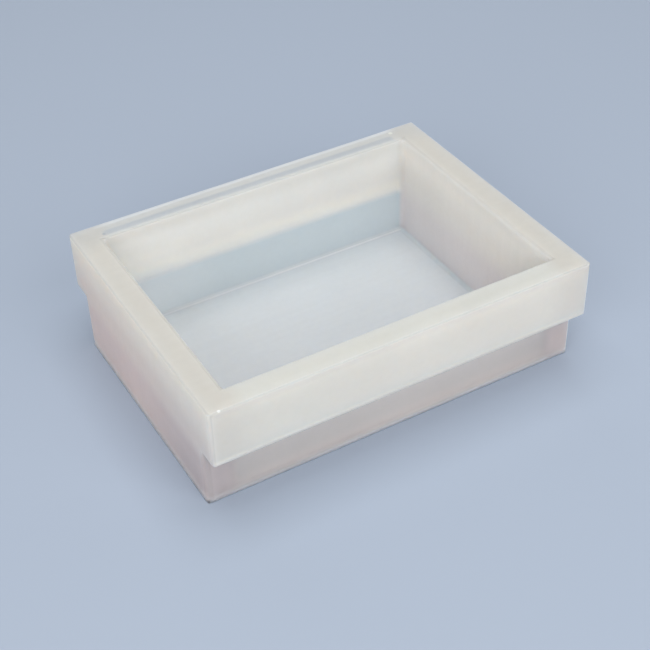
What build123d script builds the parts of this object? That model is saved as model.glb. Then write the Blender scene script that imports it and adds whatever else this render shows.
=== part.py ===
from build123d import *
import os

# A one-piece silicone mould for a slab or a short loaf of soap, in millimetres, +Z up.
# X runs along the long side and Y from front to back. The origin is the middle of the base.
# The casting is made whole, then cut on flat planes where its section changes, so that each
# rail, each wall and the floor is a solid of its own and meets its neighbours face to face.

# Outside
outer_length = 165.1        # from end face to end face
outer_width = 127.0         # over both rails
outer_height = 50.8
rail_height = 25.4          # depth of the rail along the top of each long side
rail_overhang = 8.3         # how far a rail stands out past the side wall's outer face

# Walls
end_wall = 11.1             # short sides, one thickness from top to bottom
side_wall = 1.6             # long sides, inside the rails and below them
floor_thickness = 2.5

# Roundings
profile_radius = 1.0        # outer corners of the end profile; the corner under each rail is square
end_edge_radius = 0.8       # outline of each end face
rim_inner_radius = 0.6      # top edge of the cavity
cavity_corner_radius = 3.0  # upright corners of the cavity
cavity_foot_radius = 2.0    # where the cavity's walls meet its floor

tiny = 0.001                # two places this near are the same

base_width = outer_width - 2 * rail_overhang
step_height = outer_height - rail_height
cavity_length = outer_length - 2 * end_wall
cavity_width = base_width - 2 * side_wall


def at_corner(vertex, corner):
    """True at this corner of the end profile or at its mirror image on the other side."""
    return abs(abs(vertex.X) - corner[0]) < tiny and abs(vertex.Y - corner[1]) < tiny


def outer_block():
    """The T-shaped end profile, run along the whole length, with its end outlines eased."""
    rails = Pos(0, step_height + rail_height / 2) * Rectangle(outer_width, rail_height)
    base = Pos(0, step_height / 2) * Rectangle(base_width, step_height)
    profile = rails + base
    under_rail = (base_width / 2, step_height)
    outer_corners = [v for v in profile.vertices() if not at_corner(v, under_rail)]
    profile = fillet(outer_corners, profile_radius)
    block = extrude(Plane.YZ * profile, outer_length / 2, both=True)
    ends = block.faces().sort_by(Axis.X)
    outlines = ends[0].edges() + ends[-1].edges()
    return fillet(outlines, end_edge_radius)


def cavity():
    """The straight-sided space that the soap fills, taller than the mould so it cuts through."""
    space = extrude(RectangleRounded(cavity_length, cavity_width, cavity_corner_radius), outer_height)
    foot = space.faces().sort_by(Axis.Z)[0].edges()
    return Pos(0, 0, floor_thickness) * fillet(foot, cavity_foot_radius)


def casting():
    """The whole mould in one piece."""
    mould = outer_block() - cavity()
    rim = mould.faces().sort_by(Axis.Z)[-1]
    return fillet(rim.inner_wires()[0].edges(), rim_inner_radius)


def block_between(low, high):
    """A plain box from its lowest to its highest corner."""
    size = [high[axis] - low[axis] for axis in range(3)]
    middle = [(high[axis] + low[axis]) / 2 for axis in range(3)]
    return Pos(*middle) * Box(*size)


# Places of the cuts: the end walls keep the cavity's corners, and the walls keep their feet.
end_x = outer_length / 2
wide_y = outer_width / 2
base_y = base_width / 2
end_cut = cavity_length / 2 - max(cavity_corner_radius, cavity_foot_radius)
foot_cut = cavity_width / 2 - cavity_foot_radius

regions = {
    "floor_panel": ((-end_cut, -foot_cut, 0), (end_cut, foot_cut, outer_height)),
    "left_end_wall": ((-end_x, -wide_y, 0), (-end_cut, wide_y, outer_height)),
    "right_end_wall": ((end_cut, -wide_y, 0), (end_x, wide_y, outer_height)),
    "front_side_wall": ((-end_cut, -base_y, 0), (end_cut, -foot_cut, outer_height)),
    "back_side_wall": ((-end_cut, foot_cut, 0), (end_cut, base_y, outer_height)),
    "front_rail": ((-end_cut, -wide_y, step_height), (end_cut, -base_y, outer_height)),
    "back_rail": ((-end_cut, base_y, step_height), (end_cut, wide_y, outer_height)),
}

os.makedirs("parts", exist_ok=True)
whole = casting()
for name, (low, high) in regions.items():
    piece = whole & block_between(low, high)
    export_step(piece, f"parts/{name}.step")
    print(name, "volume", round(piece.volume, 1))
print("whole casting", round(whole.volume, 1))
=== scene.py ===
import math

import bmesh
import bpy
from mathutils import Matrix, Vector


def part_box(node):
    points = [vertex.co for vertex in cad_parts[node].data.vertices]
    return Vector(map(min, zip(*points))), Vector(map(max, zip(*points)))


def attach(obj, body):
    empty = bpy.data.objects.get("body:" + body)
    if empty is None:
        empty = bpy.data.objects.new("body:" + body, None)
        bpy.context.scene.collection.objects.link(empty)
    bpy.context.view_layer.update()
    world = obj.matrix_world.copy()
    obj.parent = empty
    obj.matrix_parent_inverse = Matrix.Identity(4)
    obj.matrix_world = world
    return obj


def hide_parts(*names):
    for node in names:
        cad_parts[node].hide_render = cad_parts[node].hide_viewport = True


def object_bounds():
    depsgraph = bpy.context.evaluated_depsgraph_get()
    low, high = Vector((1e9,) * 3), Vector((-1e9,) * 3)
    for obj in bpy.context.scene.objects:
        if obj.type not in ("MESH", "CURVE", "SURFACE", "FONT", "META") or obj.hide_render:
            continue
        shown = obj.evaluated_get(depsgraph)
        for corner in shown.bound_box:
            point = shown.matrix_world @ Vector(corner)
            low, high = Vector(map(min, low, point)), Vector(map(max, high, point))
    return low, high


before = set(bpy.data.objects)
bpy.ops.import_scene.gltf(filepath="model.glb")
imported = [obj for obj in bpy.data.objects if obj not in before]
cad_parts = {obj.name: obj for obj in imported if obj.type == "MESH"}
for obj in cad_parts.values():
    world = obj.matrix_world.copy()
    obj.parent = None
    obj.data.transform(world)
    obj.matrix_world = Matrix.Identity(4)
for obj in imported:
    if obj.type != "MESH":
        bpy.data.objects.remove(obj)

# Soap slab mould: one casting in milky translucent silicone. Metres, +Z up, base on z = 0.

cadLow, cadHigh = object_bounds()
bpy.context.scene.view_settings.view_transform = "Standard"
print("frame loaded, mould is", [round(v, 4) for v in cadHigh - cadLow])

cameraValues = {
    "azimuth": math.radians(-29.05),
    "elevation": math.radians(38.88),
    "roll": math.radians(-1.84),
    "distance": 0.5345,
    "aim": Vector((-0.0085, -0.0144, 0.0254)),
    "lens": 74.55,
    "sensor": 36,
    "clip": (0.01, 50),
}


def addCamera(v):
    back = Vector((math.sin(v["azimuth"]) * math.cos(v["elevation"]),
                   -math.cos(v["azimuth"]) * math.cos(v["elevation"]),
                   math.sin(v["elevation"])))
    bpy.ops.object.camera_add(location=v["aim"] + back * v["distance"])
    camera = bpy.context.object
    camera.name = "productCamera"
    level = (-back).to_track_quat("-Z", "Y").to_matrix().to_4x4()
    tilt = level @ Matrix.Rotation(v["roll"], 4, "Z")
    camera.rotation_euler = tilt.to_euler()
    camera.data.lens = v["lens"]
    camera.data.sensor_width = v["sensor"]
    camera.data.clip_start, camera.data.clip_end = v["clip"]
    bpy.context.scene.camera = camera


addCamera(cameraValues)

studioValues = {
    "tableSize": 6.0,
    "tableDrop": 0.0001,                 # keeps the table top just under the base
    "tableColour": (0.41, 0.475, 0.58, 1),
    "tableRoughness": 0.9,
    "tableGloss": 0.2,
    "skyColour": (0.97, 0.985, 1.0, 1),
    "skyStrength": 0.21,
    "aim": (0, 0, 0.02),
    "softboxes": {                       # place, width and height, watts, colour
        "topSoftbox": ((0.0, 0.0, 1.3), (1.0, 1.0), 8.25, (1.0, 1.0, 1.0)),
        "frontSoftbox": ((0.25, -1.1, 0.75), (0.9, 0.9), 5.7, (1.0, 0.995, 0.98)),
        "leftSoftbox": ((-0.85, -0.75, 0.7), (0.9, 0.9), 8.1, (1.0, 0.99, 0.98)),
        "rightSoftbox": ((1.1, 0.1, 0.7), (0.9, 0.9), 1.1, (1.0, 1.0, 1.0)),
        "backSoftbox": ((0.1, 1.1, 0.8), (0.9, 0.9), 1.7, (0.97, 0.985, 1.0)),
        "edgeStrip": ((0.6, 0.92, 0.2), (1.2, 0.35), 1.3, (0.95, 0.98, 1.0)),
    },
}


def addTable(v):
    bpy.ops.mesh.primitive_plane_add(size=v["tableSize"], location=(0, 0, cadLow.z - v["tableDrop"]))
    table = bpy.context.object
    table.name = "paleTable"
    paint = bpy.data.materials.new("palePaper")
    paint.use_nodes = True
    shader = paint.node_tree.nodes["Principled BSDF"]
    shader.inputs["Base Color"].default_value = v["tableColour"]
    shader.inputs["Roughness"].default_value = v["tableRoughness"]
    shader.inputs["Specular IOR Level"].default_value = v["tableGloss"]
    table.data.materials.append(paint)


def addSoftbox(name, place, size, watts, colour, aim):
    bpy.ops.object.light_add(type="AREA", location=place)
    light = bpy.context.object
    light.name = name
    light.rotation_euler = (Vector(aim) - Vector(place)).to_track_quat("-Z", "Y").to_euler()
    light.data.shape = "RECTANGLE"
    light.data.size, light.data.size_y = size
    light.data.energy = watts
    light.data.color = colour


def addSky(v):
    world = bpy.data.worlds.new("studioSky")
    world.use_nodes = True
    sky = world.node_tree.nodes["Background"]
    sky.inputs["Color"].default_value = v["skyColour"]
    sky.inputs["Strength"].default_value = v["skyStrength"]
    bpy.context.scene.world = world


addTable(studioValues)
for name, (place, size, watts, colour) in studioValues["softboxes"].items():
    addSoftbox(name, place, size, watts, colour, studioValues["aim"])
addSky(studioValues)
print("camera, table and lights placed")

floorLow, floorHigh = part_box("floor_panel")
railLow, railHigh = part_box("front_rail")

mouldValues = {
    "outerLength": cadHigh.x - cadLow.x,
    "outerWidth": cadHigh.y - cadLow.y,
    "outerHeight": cadHigh.z - cadLow.z,
    "stepHeight": railLow.z,
    "railOverhang": railHigh.y - railLow.y,
    "floorThickness": floorHigh.z,
    "cavityCorner": 0.0030,     # radius of the cavity's upright corners
    "cavityFoot": 0.0020,       # radius between the walls and the floor
    "cavityRim": 0.0014,        # radius round the cavity's mouth
    "railLeft": 0.0016,         # outer corners of the rails, seen from above
    "railRight": 0.0009,
    "railEndFoot": 0.0011,      # the left ends of the rails, underneath
    "baseLeft": 0.0030,         # outer corners below the rails
    "baseRight": 0.0010,
    "leftTopEdge": 0.0009,
    "outerEdge": 0.0004,        # the other top edges, and the right ends of the rails underneath
    "railFootEdge": 0.0009,     # along the bottom of each rail
    "baseEdge": 0.0005,         # round the base
    "underRail": 0.0025,        # the hollow corner that the fingers find
    "bevelSteps": 6,
    "cell": 0.0030,             # size of the grid cut over every face
    "edgeBand": 0.0012,         # the grid has one more cut this far inside each outer rounding
    "unevenness": 0.00012,      # how far the hand-poured skin wanders
    "unevenSize": 0.035,
    "flatBase": 0.0008,         # the skin is left true below this height
    "smoothAngle": math.radians(40),
    "flatWeight": 90,           # how strongly the flat faces keep their own shading
    "turnedFrom": 0.995,        # a skin that faces an axis less than this belongs to a rounding
    "shadeFrontTop": 0.16,       # painted shade: how much darker a rounding is painted than the faces beside it, against the light it catches
    "shadeLeftTop": 0.09,
    "shadeFrontLeft": 0.13,
    "shadeRim": 0.10,
    "shadeFoot": 0.06,
    "highlightLeftUpright": 0.3,     # a wide rounding gets less of the painted edge highlight
}
mouldValues["baseWidth"] = mouldValues["outerWidth"] - 2 * mouldValues["railOverhang"]
mouldValues["cavityLength"] = floorHigh.x - floorLow.x + 2 * mouldValues["cavityCorner"]
mouldValues["cavityWidth"] = floorHigh.y - floorLow.y + 2 * mouldValues["cavityFoot"]
near = 0.00005                  # two places closer than this are the same
facing = 0.9                    # a face looks along an axis when its normal has this much of it


def same(a, b):
    return abs(a - b) < near


def pickFaces(test):
    bpy.ops.mesh.select_mode(type="FACE")
    bpy.ops.mesh.select_all(action="DESELECT")
    mesh = bmesh.from_edit_mesh(bpy.context.object.data)
    for face in mesh.faces:
        face.select_set(test(face.calc_center_median(), face.normal))
    bmesh.update_edit_mesh(bpy.context.object.data)


def pickEdges(test):
    bpy.ops.mesh.select_mode(type="EDGE")
    bpy.ops.mesh.select_all(action="DESELECT")
    mesh = bmesh.from_edit_mesh(bpy.context.object.data)
    picked = 0
    for edge in mesh.edges:
        a, b = edge.verts[0].co, edge.verts[1].co
        if test(a, b):
            edge.select_set(True)
            picked += 1
    bmesh.update_edit_mesh(bpy.context.object.data)
    return picked


def extrudeBy(move):
    bpy.ops.mesh.extrude_region_move(TRANSFORM_OT_translate={"value": move})


def weighEdges(v):
    halfL, halfW, halfB = v["outerLength"] / 2, v["outerWidth"] / 2, v["baseWidth"] / 2
    cavL, cavW = v["cavityLength"] / 2, v["cavityWidth"] / 2
    top, step, floorTop = v["outerHeight"], v["stepHeight"], v["floorThickness"]

    def upright(a, b):
        return same(a.x, b.x) and same(a.y, b.y)

    def level(a, b, z):
        return same(a.z, z) and same(b.z, z)

    def inCavity(p):
        return abs(p.x) < cavL + near and abs(p.y) < cavW + near

    def onEnd(a, b, x):
        return same(a.x, x) and same(b.x, x)

    def along(a, b, y):
        return same(a.y, b.y) and same(abs(a.y), y)

    rules = [
        ("cavityCorner", lambda a, b: upright(a, b) and same(abs(a.x), cavL) and same(abs(a.y), cavW)),
        ("cavityFoot", lambda a, b: level(a, b, floorTop) and inCavity(a) and inCavity(b)),
        ("cavityRim", lambda a, b: level(a, b, top) and inCavity(a) and inCavity(b)),
        ("railLeft", lambda a, b: upright(a, b) and onEnd(a, b, -halfL) and along(a, b, halfW)),
        ("railRight", lambda a, b: upright(a, b) and onEnd(a, b, halfL) and along(a, b, halfW)),
        ("baseLeft", lambda a, b: upright(a, b) and onEnd(a, b, -halfL) and along(a, b, halfB)),
        ("baseRight", lambda a, b: upright(a, b) and onEnd(a, b, halfL) and along(a, b, halfB)),
        ("leftTopEdge", lambda a, b: level(a, b, top) and onEnd(a, b, -halfL)),
        ("outerEdge", lambda a, b: level(a, b, top) and (onEnd(a, b, halfL) or along(a, b, halfW))),
        ("railFootEdge", lambda a, b: level(a, b, step) and along(a, b, halfW)),
        ("railEndFoot", lambda a, b: level(a, b, step) and onEnd(a, b, -halfL)),
        ("outerEdge", lambda a, b: level(a, b, step) and onEnd(a, b, halfL)),
        ("baseEdge", lambda a, b: level(a, b, 0.0)),
        ("underRail", lambda a, b: level(a, b, step) and along(a, b, halfB)),
    ]
    for radius, test in rules:
        count = pickEdges(test)
        bpy.ops.transform.edge_bevelweight(value=v[radius] / v["cavityCorner"])
        print("  ", radius, v[radius], "on", count, "edges")


def buildMould(v):
    top, step = v["outerHeight"], v["stepHeight"]
    halfB = v["baseWidth"] / 2
    bpy.ops.object.select_all(action="DESELECT")
    bpy.ops.mesh.primitive_cube_add(size=1, location=(0, 0, step / 2))
    piece = bpy.context.object
    piece.name = "siliconeMould"
    piece.scale = (v["outerLength"], v["baseWidth"], step)
    bpy.ops.object.transform_apply(location=True, rotation=True, scale=True)
    bpy.ops.object.mode_set(mode="EDIT")

    pickFaces(lambda c, n: n.z > facing)                    # upper half
    extrudeBy((0, 0, top - step))
    for side in (-1, 1):                                    # a rail along each long side
        pickFaces(lambda c, n: n.y * side > facing and c.z > step)
        extrudeBy((0, side * v["railOverhang"], 0))

    wall = halfB - v["cavityWidth"] / 2                     # mouth of the cavity, then its depth
    pickFaces(lambda c, n: n.z > facing and same(c.z, top) and abs(c.y) < near)
    bpy.ops.mesh.inset(thickness=wall)
    insetLength = v["outerLength"] - 2 * wall
    bpy.ops.transform.resize(value=(v["cavityLength"] / insetLength, 1, 1), center_override=(0, 0, top))
    extrudeBy((0, 0, v["floorThickness"] - top))

    bpy.ops.mesh.select_all(action="SELECT")
    bpy.ops.mesh.dissolve_limited(angle_limit=math.radians(1))
    weighEdges(v)
    bpy.ops.object.mode_set(mode="OBJECT")
    return piece


def roundEdges(piece, v):
    bevel = piece.modifiers.new("roundings", "BEVEL")
    bevel.limit_method = "WEIGHT"
    bevel.width = v["cavityCorner"]
    bevel.segments = v["bevelSteps"]
    bevel.use_clamp_overlap = False
    bpy.ops.object.modifier_apply(modifier=bevel.name)


def cutAcross(axis, places):
    for place in places:
        point, normal = [0, 0, 0], [0, 0, 0]
        point[axis] = place
        normal[axis] = 1
        bpy.ops.mesh.select_all(action="SELECT")
        bpy.ops.mesh.bisect(plane_co=point, plane_no=normal, threshold=near / 5)


def gridOver(v):
    band = v["outerEdge"] + v["edgeBand"]
    halfB = v["baseWidth"] / 2
    bands = [
        [cadLow.x + band, cadHigh.x - band],
        [cadLow.y + band, -halfB + band, halfB - band, cadHigh.y - band],
        [band, v["stepHeight"] + band, cadHigh.z - band],
    ]
    bpy.ops.object.mode_set(mode="EDIT")
    for axis in range(3):
        low, high = cadLow[axis], cadHigh[axis]
        count = round((high - low) / v["cell"])
        cutAcross(axis, [low + (high - low) * i / count for i in range(1, count)])
        cutAcross(axis, bands[axis])
    bpy.ops.object.mode_set(mode="OBJECT")


def markEdges(piece, v):
    halfL, halfW, halfB = v["outerLength"] / 2, v["outerWidth"] / 2, v["baseWidth"] / 2
    reach = v["baseLeft"] + near
    skin = piece.vertex_groups.new(name="skin")
    skin.add([w.index for w in piece.data.vertices if w.co.z > v["flatBase"]], 1.0, "REPLACE")
    # per vertex: how much painted highlight and how much painted shade each rounding gets
    highlights, edgeShading = [], []
    for vertex in piece.data.vertices:
        p, n = vertex.co, vertex.normal
        turned = max(abs(n.x), abs(n.y), abs(n.z)) < v["turnedFrom"]
        onBase = p.z < reach and abs(p.y) > halfB - reach
        outside = abs(p.x) > halfL - reach or abs(p.y) > halfW - reach or onBase
        nearTop, nearLeft = p.z > v["outerHeight"] - reach, p.x < reach - halfL
        nearFront = p.y < reach - (halfW if p.z > v["stepHeight"] else halfB)
        railFoot = abs(p.y) > halfW - reach and p.z < v["stepHeight"] + reach
        shadeShare = 0.0
        if nearLeft and nearFront:
            shadeShare = v["shadeFrontLeft"]
        elif nearTop and nearFront:
            shadeShare = v["shadeFrontTop"]
        elif nearTop and nearLeft:
            shadeShare = v["shadeLeftTop"]
        elif not outside and p.z > v["outerHeight"] - v["cavityRim"] - near:
            shadeShare = v["shadeRim"]
        elif not outside and p.z < v["floorThickness"] + v["cavityFoot"] + near:
            shadeShare = v["shadeFoot"]
        upright = abs(n.z) < 0.5
        highlightPart = v["highlightLeftUpright"] if nearLeft and upright else 1.0
        highlights.append(highlightPart if turned and outside and not shadeShare and not railFoot else 0.0)
        edgeShading.append(shadeShare if turned else 0.0)
    piece.data.attributes.new("edgeHighlight", "FLOAT", "POINT").data.foreach_set("value", highlights)
    piece.data.attributes.new("edgeShade", "FLOAT", "POINT").data.foreach_set("value", edgeShading)


def roughenSkin(piece, v):
    clouds = bpy.data.textures.new("pouredSkin", "CLOUDS")
    clouds.noise_scale = v["unevenSize"]
    clouds.noise_depth = 1
    wander = piece.modifiers.new("unevenSkin", "DISPLACE")
    wander.texture = clouds
    wander.texture_coords = "LOCAL"
    wander.strength = v["unevenness"]
    wander.mid_level = 1.0                 # inwards only, so the outer size stays
    wander.vertex_group = "skin"
    bpy.ops.object.modifier_apply(modifier=wander.name)


def finishShading(piece, v):
    bpy.ops.object.shade_smooth_by_angle(angle=v["smoothAngle"])
    weighted = piece.modifiers.new("flatFaces", "WEIGHTED_NORMAL")
    weighted.keep_sharp = True
    weighted.weight = v["flatWeight"]
    bpy.ops.object.modifier_apply(modifier=weighted.name)


mould = buildMould(mouldValues)
roundEdges(mould, mouldValues)
gridOver(mouldValues)
markEdges(mould, mouldValues)
roughenSkin(mould, mouldValues)
finishShading(mould, mouldValues)
print("mould shaped:", len(mould.data.vertices), "vertices", len(mould.data.polygons), "faces")

siliconeValues = {
    "gloss": 0.3,
    "ior": 1.41,
    "scatterColours": (1.0, 0.9, 0.8),   # red goes deepest
    "scatterDepth": 0.012,
    # colours, each for one part of the casting
    "railFace": (0.80, 0.775, 0.72),
    "railEnds": (0.745, 0.715, 0.665),
    # painted shade along the top edge of each rail, against the light its rounding catches
    "railTop": (0.88, 0.88, 0.89),
    # painted highlight: a light warm line along the bottom edge of each rail
    "railFoot": (1.0, 0.885, 0.73),
    "rimFront": (0.62, 0.625, 0.592),
    "rimBack": (0.57, 0.582, 0.575),
    "rimEnds": (0.60, 0.587, 0.548),
    # the floor's cool tint is painted light, shining through the thin floor
    "floor": (0.92, 0.97, 0.985),
    # height above the base as a share of the whole, and the colour there; these ramps hold painted light
    # and shade: a painted light line along the foot, painted shade lower down and under the rails, and
    # painted cool light where the thin walls let it through
    "endFront": [(0.0, (0.78, 0.69, 0.66)), (0.04, (0.68, 0.59, 0.57)), (0.12, (0.55, 0.48, 0.48)),
                 (0.35, (0.605, 0.535, 0.53)), (0.55, (0.745, 0.69, 0.655)), (0.85, (0.845, 0.81, 0.755)),
                 (1.0, (0.82, 0.79, 0.71))],
    "endBack": [(0.0, (0.96, 0.81, 0.76)), (0.04, (0.86, 0.72, 0.67)), (0.12, (0.76, 0.63, 0.59)),
                (0.35, (0.755, 0.635, 0.60)), (0.60, (0.81, 0.72, 0.655)), (0.85, (0.88, 0.82, 0.745)),
                (1.0, (0.88, 0.81, 0.71))],
    "endInside": [(0.05, (0.72, 0.67, 0.68)), (0.35, (0.74, 0.685, 0.685)), (0.65, (0.81, 0.77, 0.735)),
                  (0.85, (0.825, 0.80, 0.765)), (1.0, (0.73, 0.72, 0.70))],
    "sideLeft": [(0.05, (0.70, 0.775, 0.80)), (0.425, (0.71, 0.78, 0.80)), (0.50, (0.99, 0.95, 0.87)),
                 (0.65, (0.89, 0.87, 0.83)), (0.82, (0.815, 0.81, 0.79)), (1.0, (0.665, 0.66, 0.64))],
    "sideRight": [(0.05, (0.485, 0.56, 0.60)), (0.425, (0.50, 0.58, 0.615)), (0.50, (0.83, 0.795, 0.725)),
                  (0.65, (0.74, 0.73, 0.71)), (0.82, (0.775, 0.775, 0.76)), (1.0, (0.675, 0.68, 0.665))],
    "lowerOutside": [(0.0, (0.97, 0.90, 0.86)), (0.025, (0.88, 0.80, 0.77)), (0.05, (0.62, 0.56, 0.54)),
                     (0.09, (0.50, 0.45, 0.44)), (0.20, (0.45, 0.42, 0.42)), (0.45, (0.52, 0.49, 0.49))],
    "lowerEnds": [(0.0, (0.95, 0.87, 0.84)), (0.03, (0.76, 0.67, 0.65)), (0.08, (0.61, 0.54, 0.53)),
                  (0.45, (0.61, 0.54, 0.53))],
    # painted shade: how much each of them darkens, towards where its name says, where less light reaches
    "railToLeft": (0.94, 0.955, 0.96),
    "lowerToLeft": (0.87, 0.89, 0.91),
    "endToBack": (0.87, 0.89, 0.90),
    "floorToRight": (0.915, 0.92, 0.93),
    "floorToBack": (0.91, 0.90, 0.89),
    "rimToBackEnds": (0.93, 0.95, 0.98),
    "line": (0.465, 0.50, 0.53),         # shadow of the rail's hollow corner, seen through the back rim
    "lineAt": 0.0070,                    # from the outer edge
    "lineHalf": 0.0009,                  # half its width
    "lineSoftOut": 0.0015,               # how far its sides fade
    "lineSoftIn": 0.0018,
    "lineSide": 0.0003,                  # how far a fade reaches into the line
    "lineEnds": (0.001, 0.0015),         # its ends fade this far out and in
    "lineStart": 0.0125,                 # from the left end
    "lineStop": 0.0148,                  # from the right end
    "lineFoot": (0.40, 0.44, 0.48),      # where it ends at the left
    "lineFootAt": (-0.0700, 0.0560),
    "lineFootSize": 0.0011,
    "bubbleGlint": (0.72, 0.73, 0.68),        # a small bubble in the back rim, painted as a light spot: its glint is a painted highlight
    "bubbleAt": (0.0692, 0.0601),
    "bubbleSize": 0.0013,
    "nickGlint": (0.84, 0.85, 0.83),          # and a nick in the front edge, painted as a light fleck: its glint is a painted highlight
    "nickAt": (-0.0781, -0.0631),
    "nickSize": 0.0009,
    # painted highlight along the outer roundings, and how much of it is laid on
    "edgeHighlight": (0.93, 0.94, 0.93),
    "edgeHighlightShare": 0.6,
    "outerStrip": (0.68, 0.70, 0.70),    # painted highlight on the last of the back rim, before its edge
    # where a colour starts to come in and where it is whole, from the middle or from an edge
    "stretches": {
        "railEnds": (-0.022, -0.002),
        "railToLeft": (0.02, -0.06),
        "railTop": (-0.0040, -0.0010),
        "railFoot": (0.0034, 0.0008),
        "lowerEnds": (-0.003, 0.003),
        "lowerToLeft": (0.010, -0.050),
        "railAboveLower": (-0.0003, 0.0001),
        "endFrontToBack": (-0.058, 0.012),
        "endAfterSide": (-0.0014, -0.0002),
        "sideToRight": (-0.067, -0.013),
        "insideToBack": (-0.035, 0.035),
        "insideDown": (0.048, 0.030),
        "insideEnd": (-0.0022, -0.0002),
        "floorToRight": (-0.045, 0.05),
        "floorToBack": (-0.01, 0.045),
        "floorAfterWall": (0.0022, 0.0002),
        "cavityAlong": (0.006, 0.002),
        "rimToBack": (-0.05, 0.05),
        "outerStrip": (-0.0030, -0.0012),
        "rimToBackEnds": (0.045, 0.058),
        "rimEnds": (-0.006, 0.002),
        "rimOnTop": (-0.0009, -0.0002),
    },
    "thinWall": (0.0005, 0.0004),        # outside colours change to inside ones this far within its skins
    # cloudiness of the colour, then of the roughness: a noise that wanders by spread about middle
    "clouds": {"scale": 30, "detail": 2, "middle": 0.985, "spread": 0.02},
    "grain": {"scale": 420, "detail": 3, "middle": 1.0, "spread": 0.012},
    "streaks": {"scale": 1, "detail": 2, "middle": 1.0, "spread": 0.012, "stretch": (12, 330, 60)},
    "roughPatches": {"scale": 45, "detail": 3, "middle": 0.56, "spread": 0.05},
    "roughGrain": {"scale": 500, "detail": 2, "middle": 0.0, "spread": 0.03},
    # the satin skin
    "skinFine": {"scale": 900, "detail": 3},
    "skinFineShare": 0.25,
    "skinWaves": {"scale": 110, "detail": 2},
    "bumpStrength": 0.5,
    "bumpHeight": 0.00012,
}
noiseSpan = (0.25, 0.75)                 # where nearly all of a noise's values lie


def addNode(tree, kind, **settings):
    node = tree.nodes.new(kind)
    for name, value in settings.items():
        setattr(node, name, value)
    return node


def plug(tree, socket, value):
    if isinstance(value, bpy.types.NodeSocket):
        tree.links.new(value, socket)
    elif isinstance(value, tuple):
        socket.default_value = (*value, 1.0)[:4]
    else:
        socket.default_value = value


def sums(tree, kind, a, b=0.0):
    node = addNode(tree, "ShaderNodeMath", operation=kind)
    plug(tree, node.inputs[0], a)
    plug(tree, node.inputs[1], b)
    return node.outputs[0]


def rise(tree, value, low, high):        # 0 below low, 1 above high, smooth between them
    node = addNode(tree, "ShaderNodeMapRange", interpolation_type="SMOOTHSTEP")
    plug(tree, node.inputs["Value"], value)
    swap = low > high
    node.inputs["From Min"].default_value = high if swap else low
    node.inputs["From Max"].default_value = low if swap else high
    node.inputs["To Min"].default_value = 1.0 if swap else 0.0
    node.inputs["To Max"].default_value = 0.0 if swap else 1.0
    return node.outputs["Result"]


def blend(tree, share, first, second, kind="MIX"):
    node = addNode(tree, "ShaderNodeMix", data_type="RGBA", blend_type=kind)
    plug(tree, node.inputs[0], share)
    plug(tree, node.inputs[6], first)
    plug(tree, node.inputs[7], second)
    return node.outputs[2]


def shade(tree, share, colour, factor):
    return blend(tree, share, colour, factor, "MULTIPLY")


def spot(tree, place, at, height, size):         # a small round patch, whole in its inner third
    gap = addNode(tree, "ShaderNodeVectorMath", operation="DISTANCE")
    plug(tree, gap.inputs[0], place)
    gap.inputs[1].default_value = (*at, height)
    return rise(tree, gap.outputs["Value"], size, size / 3)


def byHeight(tree, share, stops):
    node = addNode(tree, "ShaderNodeValToRGB")
    plug(tree, node.inputs["Fac"], share)
    ramp = node.color_ramp
    ramp.interpolation = "EASE"
    while len(ramp.elements) < len(stops):
        ramp.elements.new(0.5)
    for element, (place, colour) in zip(ramp.elements, stops):
        element.position = place
        element.color = (*colour, 1.0)
    return node.outputs["Color"]


def noiseOver(tree, place, look):
    if "stretch" in look:
        mapping = addNode(tree, "ShaderNodeMapping")
        plug(tree, mapping.inputs["Vector"], place)
        mapping.inputs["Scale"].default_value = look["stretch"]
        place = mapping.outputs["Vector"]
    node = addNode(tree, "ShaderNodeTexNoise")
    plug(tree, node.inputs["Vector"], place)
    node.inputs["Scale"].default_value = look["scale"]
    node.inputs["Detail"].default_value = look["detail"]
    return node.outputs["Fac"]


def wandering(tree, place, look):                # a noise about a middle value
    node = addNode(tree, "ShaderNodeMapRange")
    plug(tree, node.inputs["Value"], noiseOver(tree, place, look))
    node.inputs["From Min"].default_value, node.inputs["From Max"].default_value = noiseSpan
    node.inputs["To Min"].default_value = look["middle"] - look["spread"]
    node.inputs["To Max"].default_value = look["middle"] + look["spread"]
    return node.outputs["Result"]


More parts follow.
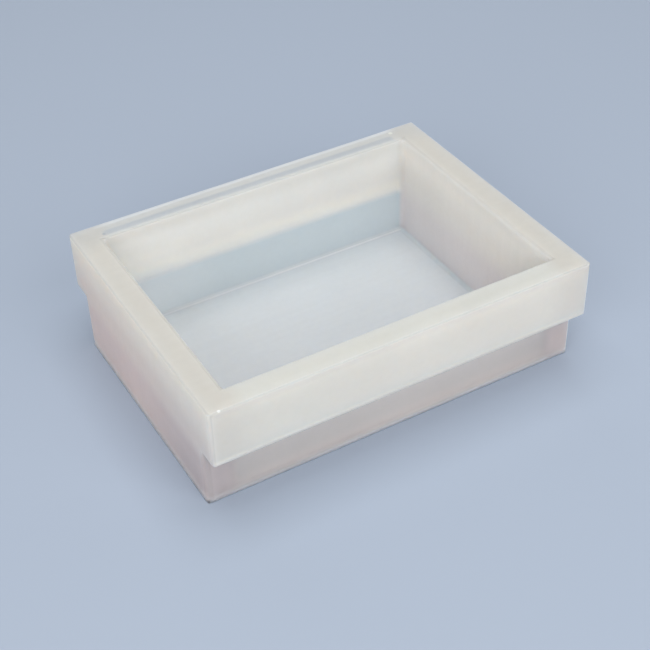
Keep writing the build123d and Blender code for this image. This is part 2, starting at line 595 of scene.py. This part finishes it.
def makeSilicone(s, v):
    halfL, halfW = v["outerLength"] / 2, v["outerWidth"] / 2
    cavL, cavW = v["cavityLength"] / 2, v["cavityWidth"] / 2
    top, step, floorTop = v["outerHeight"], v["stepHeight"], v["floorThickness"]
    halfB = v["baseWidth"] / 2
    material = bpy.data.materials.new("milkySilicone")
    material.use_nodes = True
    tree = material.node_tree
    shader = tree.nodes["Principled BSDF"]
    shader.inputs["IOR"].default_value = s["ior"]
    shader.inputs["Specular IOR Level"].default_value = s["gloss"]
    shader.inputs["Subsurface Weight"].default_value = 1.0
    shader.inputs["Subsurface Radius"].default_value = s["scatterColours"]
    shader.inputs["Subsurface Scale"].default_value = s["scatterDepth"]

    place = addNode(tree, "ShaderNodeTexCoord").outputs["Object"]
    split = addNode(tree, "ShaderNodeSeparateXYZ")
    plug(tree, split.inputs[0], place)
    x, y, z = split.outputs
    farX = sums(tree, "ABSOLUTE", x)
    farY = sums(tree, "ABSOLUTE", y)
    height = sums(tree, "DIVIDE", z, top)

    def over(value, name, edge=0.0):
        start, stop = s["stretches"][name]
        return rise(tree, value, edge + start, edge + stop)

    def ramp(name):
        return byHeight(tree, height, s[name])

    # outside faces
    rail = blend(tree, over(farX, "railEnds", halfL), s["railFace"], s["railEnds"])
    rail = shade(tree, over(x, "railToLeft"), rail, s["railToLeft"])
    rail = shade(tree, over(z, "railTop", top), rail, s["railTop"])
    rail = blend(tree, over(z, "railFoot", step), rail, s["railFoot"])
    lower = blend(tree, over(farX, "lowerEnds", cavL), ramp("lowerOutside"), ramp("lowerEnds"))
    lower = shade(tree, over(x, "lowerToLeft"), lower, s["lowerToLeft"])
    side = blend(tree, over(z, "railAboveLower", step), lower, rail)
    end = blend(tree, over(y, "endFrontToBack"), ramp("endFront"), ramp("endBack"))
    outside = blend(tree, over(farX, "endAfterSide", halfL), side, end)

    # inside of the cavity: thick ends stay warm, thin walls and floor turn cool, painted light that shines
    # through the thin silicone
    long = blend(tree, over(x, "sideToRight"), ramp("sideLeft"), ramp("sideRight"))
    deep = sums(tree, "MULTIPLY", over(y, "insideToBack"), over(z, "insideDown"))
    short = shade(tree, deep, ramp("endInside"), s["endToBack"])
    wall = blend(tree, over(farX, "insideEnd", cavL), long, short)
    ground = shade(tree, over(x, "floorToRight"), s["floor"], s["floorToRight"])
    ground = shade(tree, over(y, "floorToBack"), ground, s["floorToBack"])
    inside = blend(tree, over(z, "floorAfterWall", floorTop), wall, ground)
    withinX = over(farX, "cavityAlong", cavL)
    withinY = rise(tree, farY, halfB - s["thinWall"][0], cavW + s["thinWall"][1])
    body = blend(tree, sums(tree, "MULTIPLY", withinX, withinY), outside, inside)

    # flat rim, with the painted shadow line along the back of it
    rim = blend(tree, over(y, "rimToBack"), s["rimFront"], s["rimBack"])
    rim = blend(tree, over(y, "outerStrip", halfW), rim, s["outerStrip"])
    ends = shade(tree, over(y, "rimToBackEnds"), s["rimEnds"], s["rimToBackEnds"])
    rim = blend(tree, over(farX, "rimEnds", cavL), rim, ends)
    lineOut, lineIn = halfW - s["lineAt"] + s["lineHalf"], halfW - s["lineAt"] - s["lineHalf"]
    lineSide = s["lineSide"]
    outer = rise(tree, y, lineOut + s["lineSoftOut"], lineOut - lineSide)
    inner = rise(tree, y, lineIn - s["lineSoftIn"], lineIn + lineSide)
    endOut, endIn = s["lineEnds"]
    start = rise(tree, x, s["lineStart"] - halfL - endOut, s["lineStart"] - halfL + endIn)
    stop = rise(tree, x, halfL - s["lineStop"] + endOut, halfL - s["lineStop"] - endIn)
    line = sums(tree, "MULTIPLY", sums(tree, "MULTIPLY", outer, inner), sums(tree, "MULTIPLY", start, stop))
    rim = blend(tree, line, rim, s["line"])
    rim = blend(tree, spot(tree, place, s["lineFootAt"], top, s["lineFootSize"]), rim, s["lineFoot"])
    colour = blend(tree, over(z, "rimOnTop", top), body, rim)
    colour = blend(tree, spot(tree, place, s["bubbleAt"], top, s["bubbleSize"]), colour, s["bubbleGlint"])
    colour = blend(tree, spot(tree, place, s["nickAt"], top, s["nickSize"]), colour, s["nickGlint"])

    # painted highlight or painted shade along the rounded edges, and a little cloudy all over
    edge = addNode(tree, "ShaderNodeAttribute", attribute_name="edgeHighlight")
    edgeShare = sums(tree, "MULTIPLY", edge.outputs["Fac"], s["edgeHighlightShare"])
    colour = blend(tree, edgeShare, colour, s["edgeHighlight"])
    # painted shade on the roundings, then the cloudy tone over all
    edgeShading = addNode(tree, "ShaderNodeAttribute", attribute_name="edgeShade")
    shadeAndTone = sums(tree, "SUBTRACT", 1.0, edgeShading.outputs["Fac"])
    for look in ("clouds", "grain", "streaks"):
        shadeAndTone = sums(tree, "MULTIPLY", shadeAndTone, wandering(tree, place, s[look]))
    grey = addNode(tree, "ShaderNodeCombineXYZ")
    for socket in grey.inputs:
        plug(tree, socket, shadeAndTone)
    colour = shade(tree, 1.0, colour, grey.outputs[0])
    plug(tree, shader.inputs["Base Color"], colour)

    patches, grain = wandering(tree, place, s["roughPatches"]), wandering(tree, place, s["roughGrain"])
    plug(tree, shader.inputs["Roughness"], sums(tree, "ADD", patches, grain))

    fine = sums(tree, "MULTIPLY", noiseOver(tree, place, s["skinFine"]), s["skinFineShare"])
    bump = addNode(tree, "ShaderNodeBump")
    bump.inputs["Strength"].default_value = s["bumpStrength"]
    bump.inputs["Distance"].default_value = s["bumpHeight"]
    plug(tree, bump.inputs["Height"], sums(tree, "ADD", fine, noiseOver(tree, place, s["skinWaves"])))
    plug(tree, shader.inputs["Normal"], bump.outputs["Normal"])
    return material


mould.data.materials.append(makeSilicone(siliconeValues, mouldValues))
print("silicone mixed")

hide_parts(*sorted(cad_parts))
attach(mould, "root")
